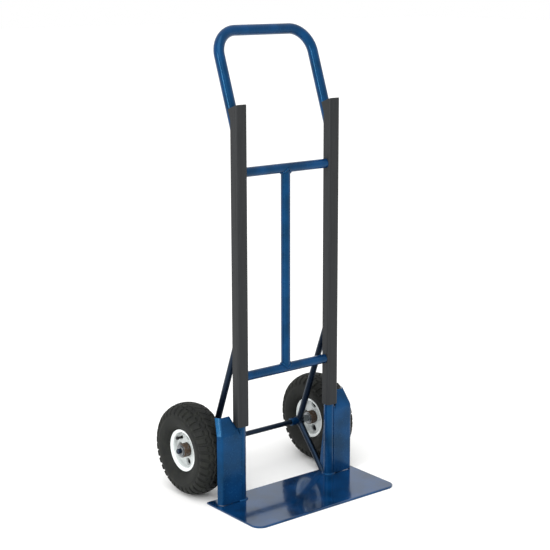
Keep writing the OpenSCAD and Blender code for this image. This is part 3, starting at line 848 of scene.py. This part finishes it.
class WheelGuards(Operator):
    """The guards: a web, a round fold and a flared flange drawn up together; above the bend the sheet
    leans back and its edges close in, eased over a few millimetres."""

    bl_idname = "hand_truck.wheel_guards"
    bl_label = "Wheel guards"

    def execute(self, context):
        size = context.scene.hand_truck_sheets
        for side, out in SIDES.items():
            node = side + "_wheel_guard"
            bottom, top = low(node), high(node)
            reach = max(abs(bottom[0]), abs(top[0]))
            inner_x = min(abs(bottom[0]), abs(top[0]))
            rise, lean, taper = 44 * MM, 23 * MM, 10 * MM
            flare, flange_back = 8 * MM, 14 * MM
            fold_x = reach - flare
            bend_z = top[2] - rise
            front = bottom[1]
            z = np.concatenate(
                [
                    np.linspace(bottom[2], bend_z - 12 * MM, 30),
                    np.linspace(bend_z - 11 * MM, bend_z + 8 * MM, 24),
                    np.linspace(bend_z + 9.5 * MM, top[2], 16),
                ]
            )
            ease = 2.5 * MM
            above = ease * np.logaddexp(0, (z - bend_z) / ease)
            set_back = lean * above / rise
            outer_x = fold_x - taper * above / rise
            edge_x = np.interp(
                z,
                [bend_z - 12 * MM, bend_z, top[2]],
                [inner_x, UPRIGHT_X + 13.5 * MM, UPRIGHT_X + 30 * MM],
            )
            corners = np.array([(-1.0, 0.0), (0.0, 0.0), (flare, flange_back)])
            bent = filleted(corners, [size.fold_r], 8)[1:]
            web_end = bent[0, 0]
            web = np.linspace(0, 1, 14)[:-1]
            web_x = edge_x[:, None] + (outer_x[:, None] + web_end - edge_x[:, None]) * web
            x = np.hstack([web_x, outer_x[:, None] + bent[:, 0]])
            y = front + set_back[:, None] + np.concatenate([np.zeros(13), bent[:, 1]])
            face = np.stack([x, y, np.broadcast_to(z[:, None], x.shape)], -1)
            normal = unit(np.cross(np.gradient(face, axis=0), np.gradient(face, axis=1)))
            rear = face + normal * size.guard_t * np.sign(normal[..., 1:2].mean())
            mirror = np.array([out, 1, 1])
            piece = make_piece(
                side + "_folded_guard",
                [slab(face * mirror, rear * mirror)],
                finish_named(BLUE),
                "frame",
                [node],
                50,
            )
            break_edges(piece, 0.7 * MM, 2)
        return {"FINISHED"}


class FootGussets(Operator):
    """The foot gussets: flat plates whose rear edge falls away from the foot to the top."""

    bl_idname = "hand_truck.foot_gussets"
    bl_label = "Foot gussets"

    def execute(self, context):
        for side in SIDES:
            node = side + "_foot_gusset"
            bottom, top = low(node), high(node)
            z = np.linspace(bottom[2], top[2], 17)
            rear = np.interp(z, [bottom[2], bottom[2] + 30 * MM, top[2]], [top[1], top[1], bottom[1] + 2 * MM])
            y = bottom[1] + (rear - bottom[1])[:, None] * np.linspace(0, 1, 5)
            height = np.broadcast_to(z[:, None], y.shape)
            faces = [np.stack([np.full(y.shape, x), y, height], -1) for x in (bottom[0], top[0])]
            piece = make_piece(
                side + "_gusset_plate", [slab(*faces)], finish_named(BLUE), "frame", [node]
            )
            break_edges(piece, 0.6 * MM, 2)
        return {"FINISHED"}


class AxleAndBraces(Operator):
    """The axle, its sleeves and the brace bars: turned profiles with broken edges, and circles carried
    from the sleeve to the upright and to the toe plate."""

    bl_idname = "hand_truck.axle_and_braces"
    bl_label = "Axle and braces"

    def execute(self, context):
        size = context.scene.hand_truck_tubes
        half = high("axle")[0]
        radius = high("axle")[2] - AXLE[2]
        chamfer = 1.2 * MM
        profile = [(-half, radius - chamfer), (chamfer - half, radius), (half - chamfer, radius), (half, radius - chamfer)]
        grid = turned(profile, AXLE, 1, 40).transpose(1, 0, 2)
        make_piece("axle_bar", [skin(grid)], finish_named(BLACK), "frame", ["axle"])
        for side, out in SIDES.items():
            for node, name, finish, slot in (
                ("_axle_boss", "_axle_sleeve", BLUE, "blue_enamel"),
                ("_axle_spacer", "_spacer_tube", ZINC, "zinc_plate"),
            ):
                place, end = middle(side + node), high(side + node)
                long, wide = end[0] - place[0], end[2] - place[2]
                inner = radius + 0.2 * MM
                ring = filleted(
                    [(0, inner), (-long, inner), (-long, wide), (long, wide), (long, inner), (0, inner)],
                    [0, 0.8 * MM, 0.8 * MM, 0],
                    30,
                )[:-1]
                grid = turned(ring, place, out, 48)
                make_piece(
                    side + name,
                    [skin(grid, rows_meet=True)],
                    finish_named(finish),
                    "frame",
                    [side + node],
                )
            foot = np.array([out * UPRIGHT_X, AXLE[1], AXLE[2]])
            head = np.array([out * UPRIGHT_X, 0, high(side + "_upper_brace")[2] - 8 * MM])
            grid = rod(foot, head, size.brace_r, 36, 10)
            make_piece(
                side + "_upper_brace_bar",
                [skin(grid)],
                finish_named(BLACK),
                "frame",
                [side + "_upper_brace"],
            )
            toe = np.array([out * UPRIGHT_X, low(side + "_lower_brace")[1] + 11 * MM, PLATE_TOP])
            grid = rod(foot, toe, size.brace_r, 36, 6)
            way = unit(toe - foot)
            grid[-1] += way * ((PLATE_TOP - 0.5 * MM - grid[-1, :, 2:]) / way[2])
            make_piece(
                side + "_lower_brace_bar",
                [skin(grid)],
                finish_named(BLACK),
                "frame",
                [side + "_lower_brace"],
            )
        return {"FINISHED"}


class Tyres(Operator):
    """The tyres: a round-shouldered section turned about the axle. Across the crown its radius rises by
    the lug height wherever no groove runs: two zigzag grooves beside a centre rib, slanted sipes in
    the rib, and staggered cross grooves between the shoulder lugs."""

    bl_idname = "hand_truck.tyres"
    bl_label = "Tyres"

    def section(self, wheel_r, half_w):
        """Outer line from bead to bead as (across, radius, arc length from the crown), then the inner line."""
        flank_r = 35.5 * MM
        centre_r = wheel_r - 39 * MM
        centre_z = half_w - flank_r
        flat = np.linspace(0, centre_z, 10)[:-1]
        turn = np.radians(np.concatenate([np.linspace(90, 10, 48), np.linspace(7, -57, 16)]))
        across = np.concatenate([flat, centre_z + flank_r * np.cos(turn)])
        radius = np.concatenate([np.full(9, centre_r + flank_r), centre_r + flank_r * np.sin(turn)])
        arc = np.concatenate([flat, centre_z + flank_r * (math.pi / 2 - turn)])
        outer = np.stack([across, radius, arc], 1)
        outer = np.concatenate([outer[:0:-1] * (-1, 1, -1), outer])
        inner_turn = np.radians(np.linspace(-50, 90, 10))
        inner = np.stack([7 * MM + 31 * MM * np.cos(inner_turn), centre_r + 31 * MM * np.sin(inner_turn)], 1)
        inner[0] = (15.9 * MM, 51.3 * MM)
        bead_foot = np.array([(26.3 * MM, 51.3 * MM)])
        one = np.concatenate([bead_foot, inner])
        inner = np.concatenate([one, one[::-1] * (-1, 1)])
        return outer, inner

    def lugs(self, arc, pitch_place, size):
        """Share of the lug height at each arc length and place round the tyre, the latter in pitches."""
        pitch = 2 * math.pi * 127 * MM / size.lug_count
        a = np.abs(arc)[None, :]
        stagger = np.where(arc < 0, 0.5, 0.0)[None, :]
        p = pitch_place[:, None]
        wave = np.abs((p + stagger) % 1 - 0.5) * 2
        zig = np.abs(a - (11 + 4.5 * wave) * MM)
        edge = 0.9 * MM
        keep = smooth_step(1.7 * MM, 1.7 * MM + edge, zig)
        slant = (p + stagger + 0.18 * (a - 14 * MM) / (20 * MM)) % 1
        gap = np.minimum(slant, 1 - slant) * pitch
        width = size.groove / 2 * (0.55 + 0.45 * smooth_step(14 * MM, 34 * MM, a))
        cross = smooth_step(width, width + edge, gap)
        keep = keep * np.where(a > 12 * MM, cross, 1)
        sipe = (p + arc[None, :] / (30 * MM)) % 1
        sipe_gap = np.minimum(sipe, 1 - sipe) * pitch
        keep = keep * np.where(a < 8 * MM, smooth_step(1.1 * MM, 1.1 * MM + edge, sipe_gap), 1)
        inner_block = np.abs(a - 26 * MM)
        notch = (p + stagger + 0.5) % 1
        notch_gap = np.minimum(notch, 1 - notch) * pitch
        notch_keep = np.maximum(
            smooth_step(1.2 * MM, 1.2 * MM + edge, inner_block),
            smooth_step(7.5 * MM, 8.5 * MM, notch_gap),
        )
        return keep * notch_keep * (1 - smooth_step(47 * MM, 56 * MM, a))

    def execute(self, context):
        size = context.scene.hand_truck_wheels
        for side, out in SIDES.items():
            node = side + "_tyre"
            centre = middle(node)
            wheel_r = high(node)[2] - centre[2]
            half_w = high(node)[0] - centre[0]
            outer, inner = self.section(wheel_r, half_w)
            sides = size.lug_count * 22
            place = np.arange(sides) / 22
            rise = size.lug_h * self.lugs(outer[:, 2], place, size)
            crown = 63 * MM + np.sqrt(np.maximum((64 * MM) ** 2 - outer[:, 0] ** 2, 0))
            room = np.clip(crown - outer[:, 1], 1.6 * MM, size.lug_h) / size.lug_h
            rise = rise * np.where(np.abs(outer[:, 2]) < 57 * MM, room, 0)
            arc = np.abs(outer[:, 2])
            rings = sum(0.7 * MM * np.exp(-(((arc - at * MM) / (1.1 * MM)) ** 2)) for at in (60, 64, 88))
            slope = np.clip((np.abs(outer[:, 2]) - half_w + 35.5 * MM) / (35.5 * MM), 0, 3)
            out_x = np.sign(outer[:, 0]) * np.sin(slope)
            out_r = np.cos(slope)
            lift = rise + rings
            across = outer[:, 0] + lift * out_x
            radius = outer[:, 1] + lift * out_r
            across = np.hstack([across, np.broadcast_to(inner[:, 0], (sides, len(inner)))])
            radius = np.hstack([radius, np.broadcast_to(inner[:, 1], (sides, len(inner)))])
            turn = np.linspace(0, 2 * math.pi, sides, endpoint=False)[:, None]
            grid = np.stack(
                [centre[0] + out * across, centre[1] + radius * np.cos(turn), centre[2] + radius * np.sin(turn)], -1
            )
            make_piece(
                side + "_lugged_tyre",
                [skin(grid, rows_meet=True)],
                finish_named(RUBBER),
                side + "_wheel",
                [node],
                55,
            )
        dress(["left_inner_tube", "right_inner_tube"], finish_named(TUBE_RUBBER))
        return {"FINISHED"}


class Rims(Operator):
    """The rim halves: a sheet section with a rolled lip, a wall and a dished disc turned about the axle;
    on the disc, four pockets sink towards the wheel's middle plane with eased walls."""

    bl_idname = "hand_truck.rims"
    bl_label = "Pressed rims"

    def section(self, sheet):
        """Both faces of the sheet, a half thickness to each side of its middle line."""
        corners = np.array([(30.4, 56.4), (27.7, 56.8), (27.7, 49.7), (10.9, 49.0), (10.9, 20.6), (14.5, 20.4)]) * MM
        line = filleted(corners, [1.6 * MM, 3 * MM, 5 * MM, 1.6 * MM], 15)
        fine = [line[:1]]
        for start, end in zip(line, line[1:]):
            steps = max(1, math.ceil(np.linalg.norm(end - start) / (0.9 * MM)))
            fine.append(start + (end - start) * np.linspace(0, 1, steps + 1)[1:, None])
        line = np.concatenate(fine)
        runs = unit(np.gradient(line, axis=0))
        normal = np.stack([-runs[:, 1], runs[:, 0]], 1) * sheet / 2
        return np.concatenate([line + normal, (line - normal)[::-1]])

    def execute(self, context):
        size = context.scene.hand_truck_wheels
        sides = 288
        profile = self.section(size.sheet)
        turn = np.linspace(0, 2 * math.pi, sides, endpoint=False)[:, None]
        depth = 9.4 * MM
        across_flat = profile[:, 1] * np.cos(turn)
        up_flat = profile[:, 1] * np.sin(turn)
        sink = np.zeros((sides, len(profile)))
        for quarter in range(4):
            angle = quarter * math.pi / 2
            gap = np.hypot(
                across_flat - size.bolt_circle_r * math.cos(angle), up_flat - size.bolt_circle_r * math.sin(angle)
            )
            sink = np.maximum(sink, 1 - smooth_step(size.pocket_r - 1.2 * MM, size.pocket_r + 1.8 * MM, gap))
        sink = sink * (profile[:, 0] < 17 * MM)
        for side, out in SIDES.items():
            centre = middle(side + "_tyre")
            for half, way in (("outer", 1), ("inner", -1)):
                node = f"{side}_rim_{half}_half"
                x = centre[0] + out * way * (profile[:, 0] - depth * sink)
                grid = np.stack([x, centre[1] + across_flat, centre[2] + up_flat], -1)
                make_piece(
                    f"{side}_pressed_rim_{half}",
                    [skin(grid, rows_meet=True)],
                    finish_named(RIM_WHITE_WITH_SHADE),
                    side + "_wheel",
                    [node],
                    60,
                )
        return {"FINISHED"}


class Hubs(Operator):
    """The hubs: a turned tube with chamfered ends and a shallow waist; the bearings keep their own
    solids and get a ground finish."""

    bl_idname = "hand_truck.hubs"
    bl_label = "Hubs and bearings"

    def execute(self, context):
        for side, out in SIDES.items():
            node = side + "_hub"
            centre = middle(node)
            half, radius = high(node)[0] - centre[0], high(node)[2] - centre[2]
            bore = 17.5 * MM
            corners = [
                (0, 14.5 * MM),
                (-half + 11 * MM, 14.5 * MM),
                (-half + 11 * MM, bore),
                (-half, bore),
                (-half, radius),
                (-18 * MM, radius),
                (-14 * MM, radius - 1.5 * MM),
                (14 * MM, radius - 1.5 * MM),
                (18 * MM, radius),
                (half, radius),
                (half, bore),
                (half - 11 * MM, bore),
                (half - 11 * MM, 14.5 * MM),
                (0, 14.5 * MM),
            ]
            soft = 0.6 * MM
            profile = filleted(corners, [0, 0, 0.3 * MM, 1.2 * MM, soft, soft, soft, soft, 1.2 * MM, 0.3 * MM, 0, 0], 30)
            grid = turned(profile[:-1], centre, out, 64)
            make_piece(
                side + "_turned_hub",
                [skin(grid, rows_meet=True)],
                finish_named(OXIDE),
                side + "_wheel",
                [node],
            )
        bearings = [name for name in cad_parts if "bearing" in name]
        dress(bearings, finish_named(STEEL))
        return {"FINISHED"}


def hexagonal(across, height, base_x, out, spot, sides=36):
    """A hexagonal prism with a turned chamfer: its radius is the hexagon's at each angle, and its top
    falls by a 30 degree cone outside the flats' circle."""
    turn = np.linspace(0, 2 * math.pi, sides, endpoint=False)
    sector = (turn + math.pi / 6) % (math.pi / 3) - math.pi / 6
    hexagon = across / 2 / np.cos(sector)
    drop = np.maximum(hexagon - 0.49 * across, 0) * 0.577
    rows = [
        (hexagon, np.zeros(sides)),
        (hexagon, height - drop),
        (np.full(sides, 0.46 * across), np.full(sides, height)),
        (np.full(sides, 0.2 * across), np.full(sides, height)),
    ]
    grid = [
        np.stack([base_x + out * rise, spot[1] + radius * np.cos(turn), spot[2] + radius * np.sin(turn)], -1)
        for radius, rise in rows
    ]
    return skin(np.array(grid))


class Fasteners(Operator):
    """Rim bolts, nuts, axle washers and split pins: hexagons with turned chamfers, turned rings, and a
    wire carried down one leg, round the eye and up the other."""

    bl_idname = "hand_truck.fasteners"
    bl_label = "Fasteners"

    def pin_path(self, x):
        """Centre line of a split pin through the axle: spread feet, two close legs and a round eye."""
        top, foot = high("left_split_pin")[2], low("left_split_pin")[2]
        eye_r = 3 * MM
        leg = 0.85 * MM
        eye_z = top - eye_r - 1.2 * MM
        start = math.asin(leg / eye_r)
        turn = np.linspace(-math.pi / 2 + start, 1.5 * math.pi - start, 25)
        eye = np.stack([np.zeros(25), eye_r * np.cos(turn), eye_z + eye_r * np.sin(turn)], 1)
        corners = [(0, 6 * MM, foot + 1.5 * MM), (0, leg, foot + 5 * MM), (0, leg, eye_z - eye_r - 1 * MM)]
        down = filleted(corners, [3 * MM], 12)
        path = np.concatenate([down, eye, (down * (1, -1, 1))[::-1]])
        return path + (x, AXLE[1], 0)

    def execute(self, context):
        size = context.scene.hand_truck_wheels
        zinc, dark = finish_named(ZINC), finish_named(BLACK_OXIDE)
        for side, out in SIDES.items():
            centre = middle(side + "_tyre")
            bolts, nuts = side + "_rim_bolts", side + "_rim_nuts"
            heads, ends = [], []
            head_x, bolt_end = (high(bolts)[0], low(bolts)[0]) if out > 0 else (low(bolts)[0], high(bolts)[0])
            nut_x = low(nuts)[0] if out > 0 else high(nuts)[0]
            head_h = 5 * MM
            nut_h = high(nuts)[0] - low(nuts)[0]
            for quarter in range(4):
                angle = quarter * math.pi / 2
                spot = centre + size.bolt_circle_r * np.array([0, math.cos(angle), math.sin(angle)])
                heads.append(hexagonal(size.bolt_across, head_h, head_x - out * head_h, out, spot))
                shank = [(bolt_end - out * 0, 3.3 * MM), (bolt_end + out * MM, 4 * MM), (head_x - out * head_h, 4 * MM)]
                shank = [((x - spot[0]) * out, r) for x, r in shank]
                heads.append(skin(turned(shank, spot, out, 24).transpose(1, 0, 2)))
                ends.append(hexagonal(size.bolt_across, nut_h, nut_x + out * nut_h, -out, spot))
            make_piece(side + "_hex_bolts", heads, dark, side + "_wheel", [bolts], 25)
            make_piece(side + "_hex_nuts", ends, dark, side + "_wheel", [nuts], 25)
            washers = side + "_axle_washers"
            radius = high(washers)[2] - AXLE[2]
            bore = high("axle")[2] - AXLE[2] + 0.3 * MM
            thick = 2.5 * MM
            rings = []
            for x in (low(washers)[0] + thick / 2, high(washers)[0] - thick / 2):
                corners = [(0, bore), (-thick / 2, bore), (-thick / 2, radius), (thick / 2, radius)]
                corners += [(thick / 2, bore), (0, bore)]
                profile = filleted(corners, [0, 0.5 * MM, 0.5 * MM, 0], 30)[:-1]
                rings.append(skin(turned(profile, np.array([x, AXLE[1], AXLE[2]]), 1, 48), rows_meet=True))
            make_piece(side + "_plain_washers", rings, zinc, "frame", [washers])
            pin = side + "_split_pin"
            path = self.pin_path(middle(pin)[0])
            grid = carried(path, circle(0.85 * MM, 10), (1, 0, 0))
            make_piece(side + "_cotter_pin", [skin(grid)], zinc, "frame", [pin], 60)
        return {"FINISHED"}


class Valves(Operator):
    """The valves: a rubber stem turned with a flared foot and two collars, and a cap whose side is
    knurled by a cosine round its radius."""

    bl_idname = "hand_truck.valves"
    bl_label = "Valves"

    def execute(self, context):
        for side, out in SIDES.items():
            stem, cap = side + "_valve_stem", side + "_valve_cap"
            spot = middle(cap)
            foot_x = low(stem)[0] if out > 0 else high(stem)[0]
            top_x = high(stem)[0] if out > 0 else low(stem)[0]
            tall = abs(top_x - foot_x)
            profile = np.array(
                [(0, 6.2), (4, 6.4), (6.5, 5.2), (8.5, 4.1), (9.5, 4.6), (10.5, 4.1), (16, 3.6), (17, 3.9), (18, 3.2)]
            )
            profile = np.vstack([profile * MM, [(tall, 3.0 * MM)]])
            grid = turned(profile, np.array([foot_x, spot[1], spot[2]]), out, 32).transpose(1, 0, 2)
            make_piece(
                side + "_rubber_stem", [skin(grid)], finish_named(RUBBER), side + "_wheel", [stem]
            )
            cap_low = low(cap)[0] if out > 0 else high(cap)[0]
            cap_h, cap_r = high(cap)[0] - low(cap)[0], high(cap)[2] - spot[2]
            turn = np.linspace(0, 2 * math.pi, 96, endpoint=False)
            knurl = 1 - 0.05 * (0.5 - 0.5 * np.cos(24 * turn))
            rows = [(0, 0.97, 0), (0.1, 1, 1), (0.8, 1, 1), (0.9, 0.97, 0), (1, 0.86, 0), (1, 0.5, 0)]
            grid = []
            for share, wide, ribbed in rows:
                radius = cap_r * wide * (knurl if ribbed else np.full(96, 0.97))
                x = np.full(96, cap_low + out * cap_h * share)
                grid.append(np.stack([x, spot[1] + radius * np.cos(turn), spot[2] + radius * np.sin(turn)], -1))
            make_piece(
                side + "_knurled_cap",
                [skin(np.array(grid))],
                finish_named(BLACK_PLASTIC),
                side + "_wheel",
                [cap],
            )
        return {"FINISHED"}


class Stage(Operator):
    """The floor, the soft daylight, the key light and the camera."""

    bl_idname = "hand_truck.stage"
    bl_label = "Stage"

    def execute(self, context):
        scene = context.scene
        reach = np.linspace(-30, 30, 13)
        x, y = np.meshgrid(reach, reach, indexing="ij")
        grid = np.stack([x, y, np.full(x.shape, -0.2 * MM)], -1)
        points, quads, _ = skin(grid, columns_meet=False, ends=False)
        mesh = bpy.data.meshes.new("studio_floor")
        mesh.from_pydata(points, [], quads.tolist())
        mesh.materials.append(finish_named(FLOOR))
        floor = bpy.data.objects.new("studio_floor", mesh)
        scene.collection.objects.link(floor)

        world = bpy.data.worlds.new("white surround")
        scene.world = world
        world.use_nodes = True
        surround = world.node_tree.nodes["Background"]
        surround.inputs["Color"].default_value = (1, 1, 1, 1)
        surround.inputs["Strength"].default_value = 1.0

        key = bpy.data.lights.new("overhead key", "SUN")
        key.energy = 1.3
        key.angle = math.radians(50)
        self.aim(context, key, Vector((-1.6, -1.8, 3.2)), Vector((0, 0, 0)))
        strip = bpy.data.lights.new("side strip", "AREA")
        strip.shape = "RECTANGLE"
        strip.size, strip.size_y = 0.5, 2.0
        strip.energy = 45
        self.aim(context, strip, Vector((-3.2, -0.6, 1.5)), Vector((0, 0, 0.6)))

        target = Vector((-0.0361, 0, 0.6059))
        azimuth, elevation, roll = (math.radians(v) for v in (-38.328, 12.537, -0.151))
        distance = 3.575
        back = Vector(
            (
                math.sin(azimuth) * math.cos(elevation),
                -math.cos(azimuth) * math.cos(elevation),
                math.sin(elevation),
            )
        )
        lens = bpy.data.cameras.new("photographer")
        lens.lens = 88.2
        lens.sensor_width = 36
        lens.clip_end = 200
        camera = bpy.data.objects.new("photographer", lens)
        scene.collection.objects.link(camera)
        camera.location = target + distance * back
        facing = (-back).to_track_quat("-Z", "Y").to_matrix()
        camera.rotation_euler = (facing @ Matrix.Rotation(roll, 3, "Z")).to_euler()
        scene.camera = camera
        scene.view_settings.view_transform = "Standard"
        return {"FINISHED"}

    def aim(self, context, light, place, target):
        """Puts a light at a place, turned to a target."""
        lamp = bpy.data.objects.new(light.name, light)
        context.scene.collection.objects.link(lamp)
        lamp.location = place
        lamp.rotation_euler = (target - place).to_track_quat("-Z", "Y").to_euler()


STEPS = (
    BentFrame,
    Crossbars,
    WeldBeads,
    ToePlate,
    UprightCovers,
    WheelGuards,
    FootGussets,
    AxleAndBraces,
    Tyres,
    Rims,
    Hubs,
    Fasteners,
    Valves,
    Stage,
)


class HandTruckPanel(Panel):
    """Lists the steps and the sizes and colours they use."""

    bl_idname = "VIEW3D_PT_hand_truck"
    bl_label = "Hand Truck"
    bl_space_type = "VIEW_3D"
    bl_region_type = "UI"
    bl_category = "Hand Truck"

    def draw(self, context):
        for step in STEPS:
            self.layout.operator(step.bl_idname)
        for group in GROUPS:
            box = self.layout.box()
            values = getattr(context.scene, group)
            for name in values.bl_rna.properties.keys():
                if name not in ("rna_type", "name"):
                    box.prop(values, name)


GROUPS = {
    "hand_truck_tubes": TubeSizes,
    "hand_truck_sheets": SheetSizes,
    "hand_truck_wheels": WheelSizes,
    "hand_truck_colours": Colours,
}


def register():
    for kind in (*GROUPS.values(), *STEPS, HandTruckPanel):
        bpy.utils.register_class(kind)
    for name, kind in GROUPS.items():
        setattr(bpy.types.Scene, name, PointerProperty(type=kind))


def unregister():
    for name in GROUPS:
        delattr(bpy.types.Scene, name)
    for kind in reversed((*GROUPS.values(), *STEPS, HandTruckPanel)):
        bpy.utils.unregister_class(kind)


def main():
    """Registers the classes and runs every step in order."""
    register()
    for step in STEPS:
        group, name = step.bl_idname.split(".")
        getattr(getattr(bpy.ops, group), name)()


if __name__ == "__main__":
    main()
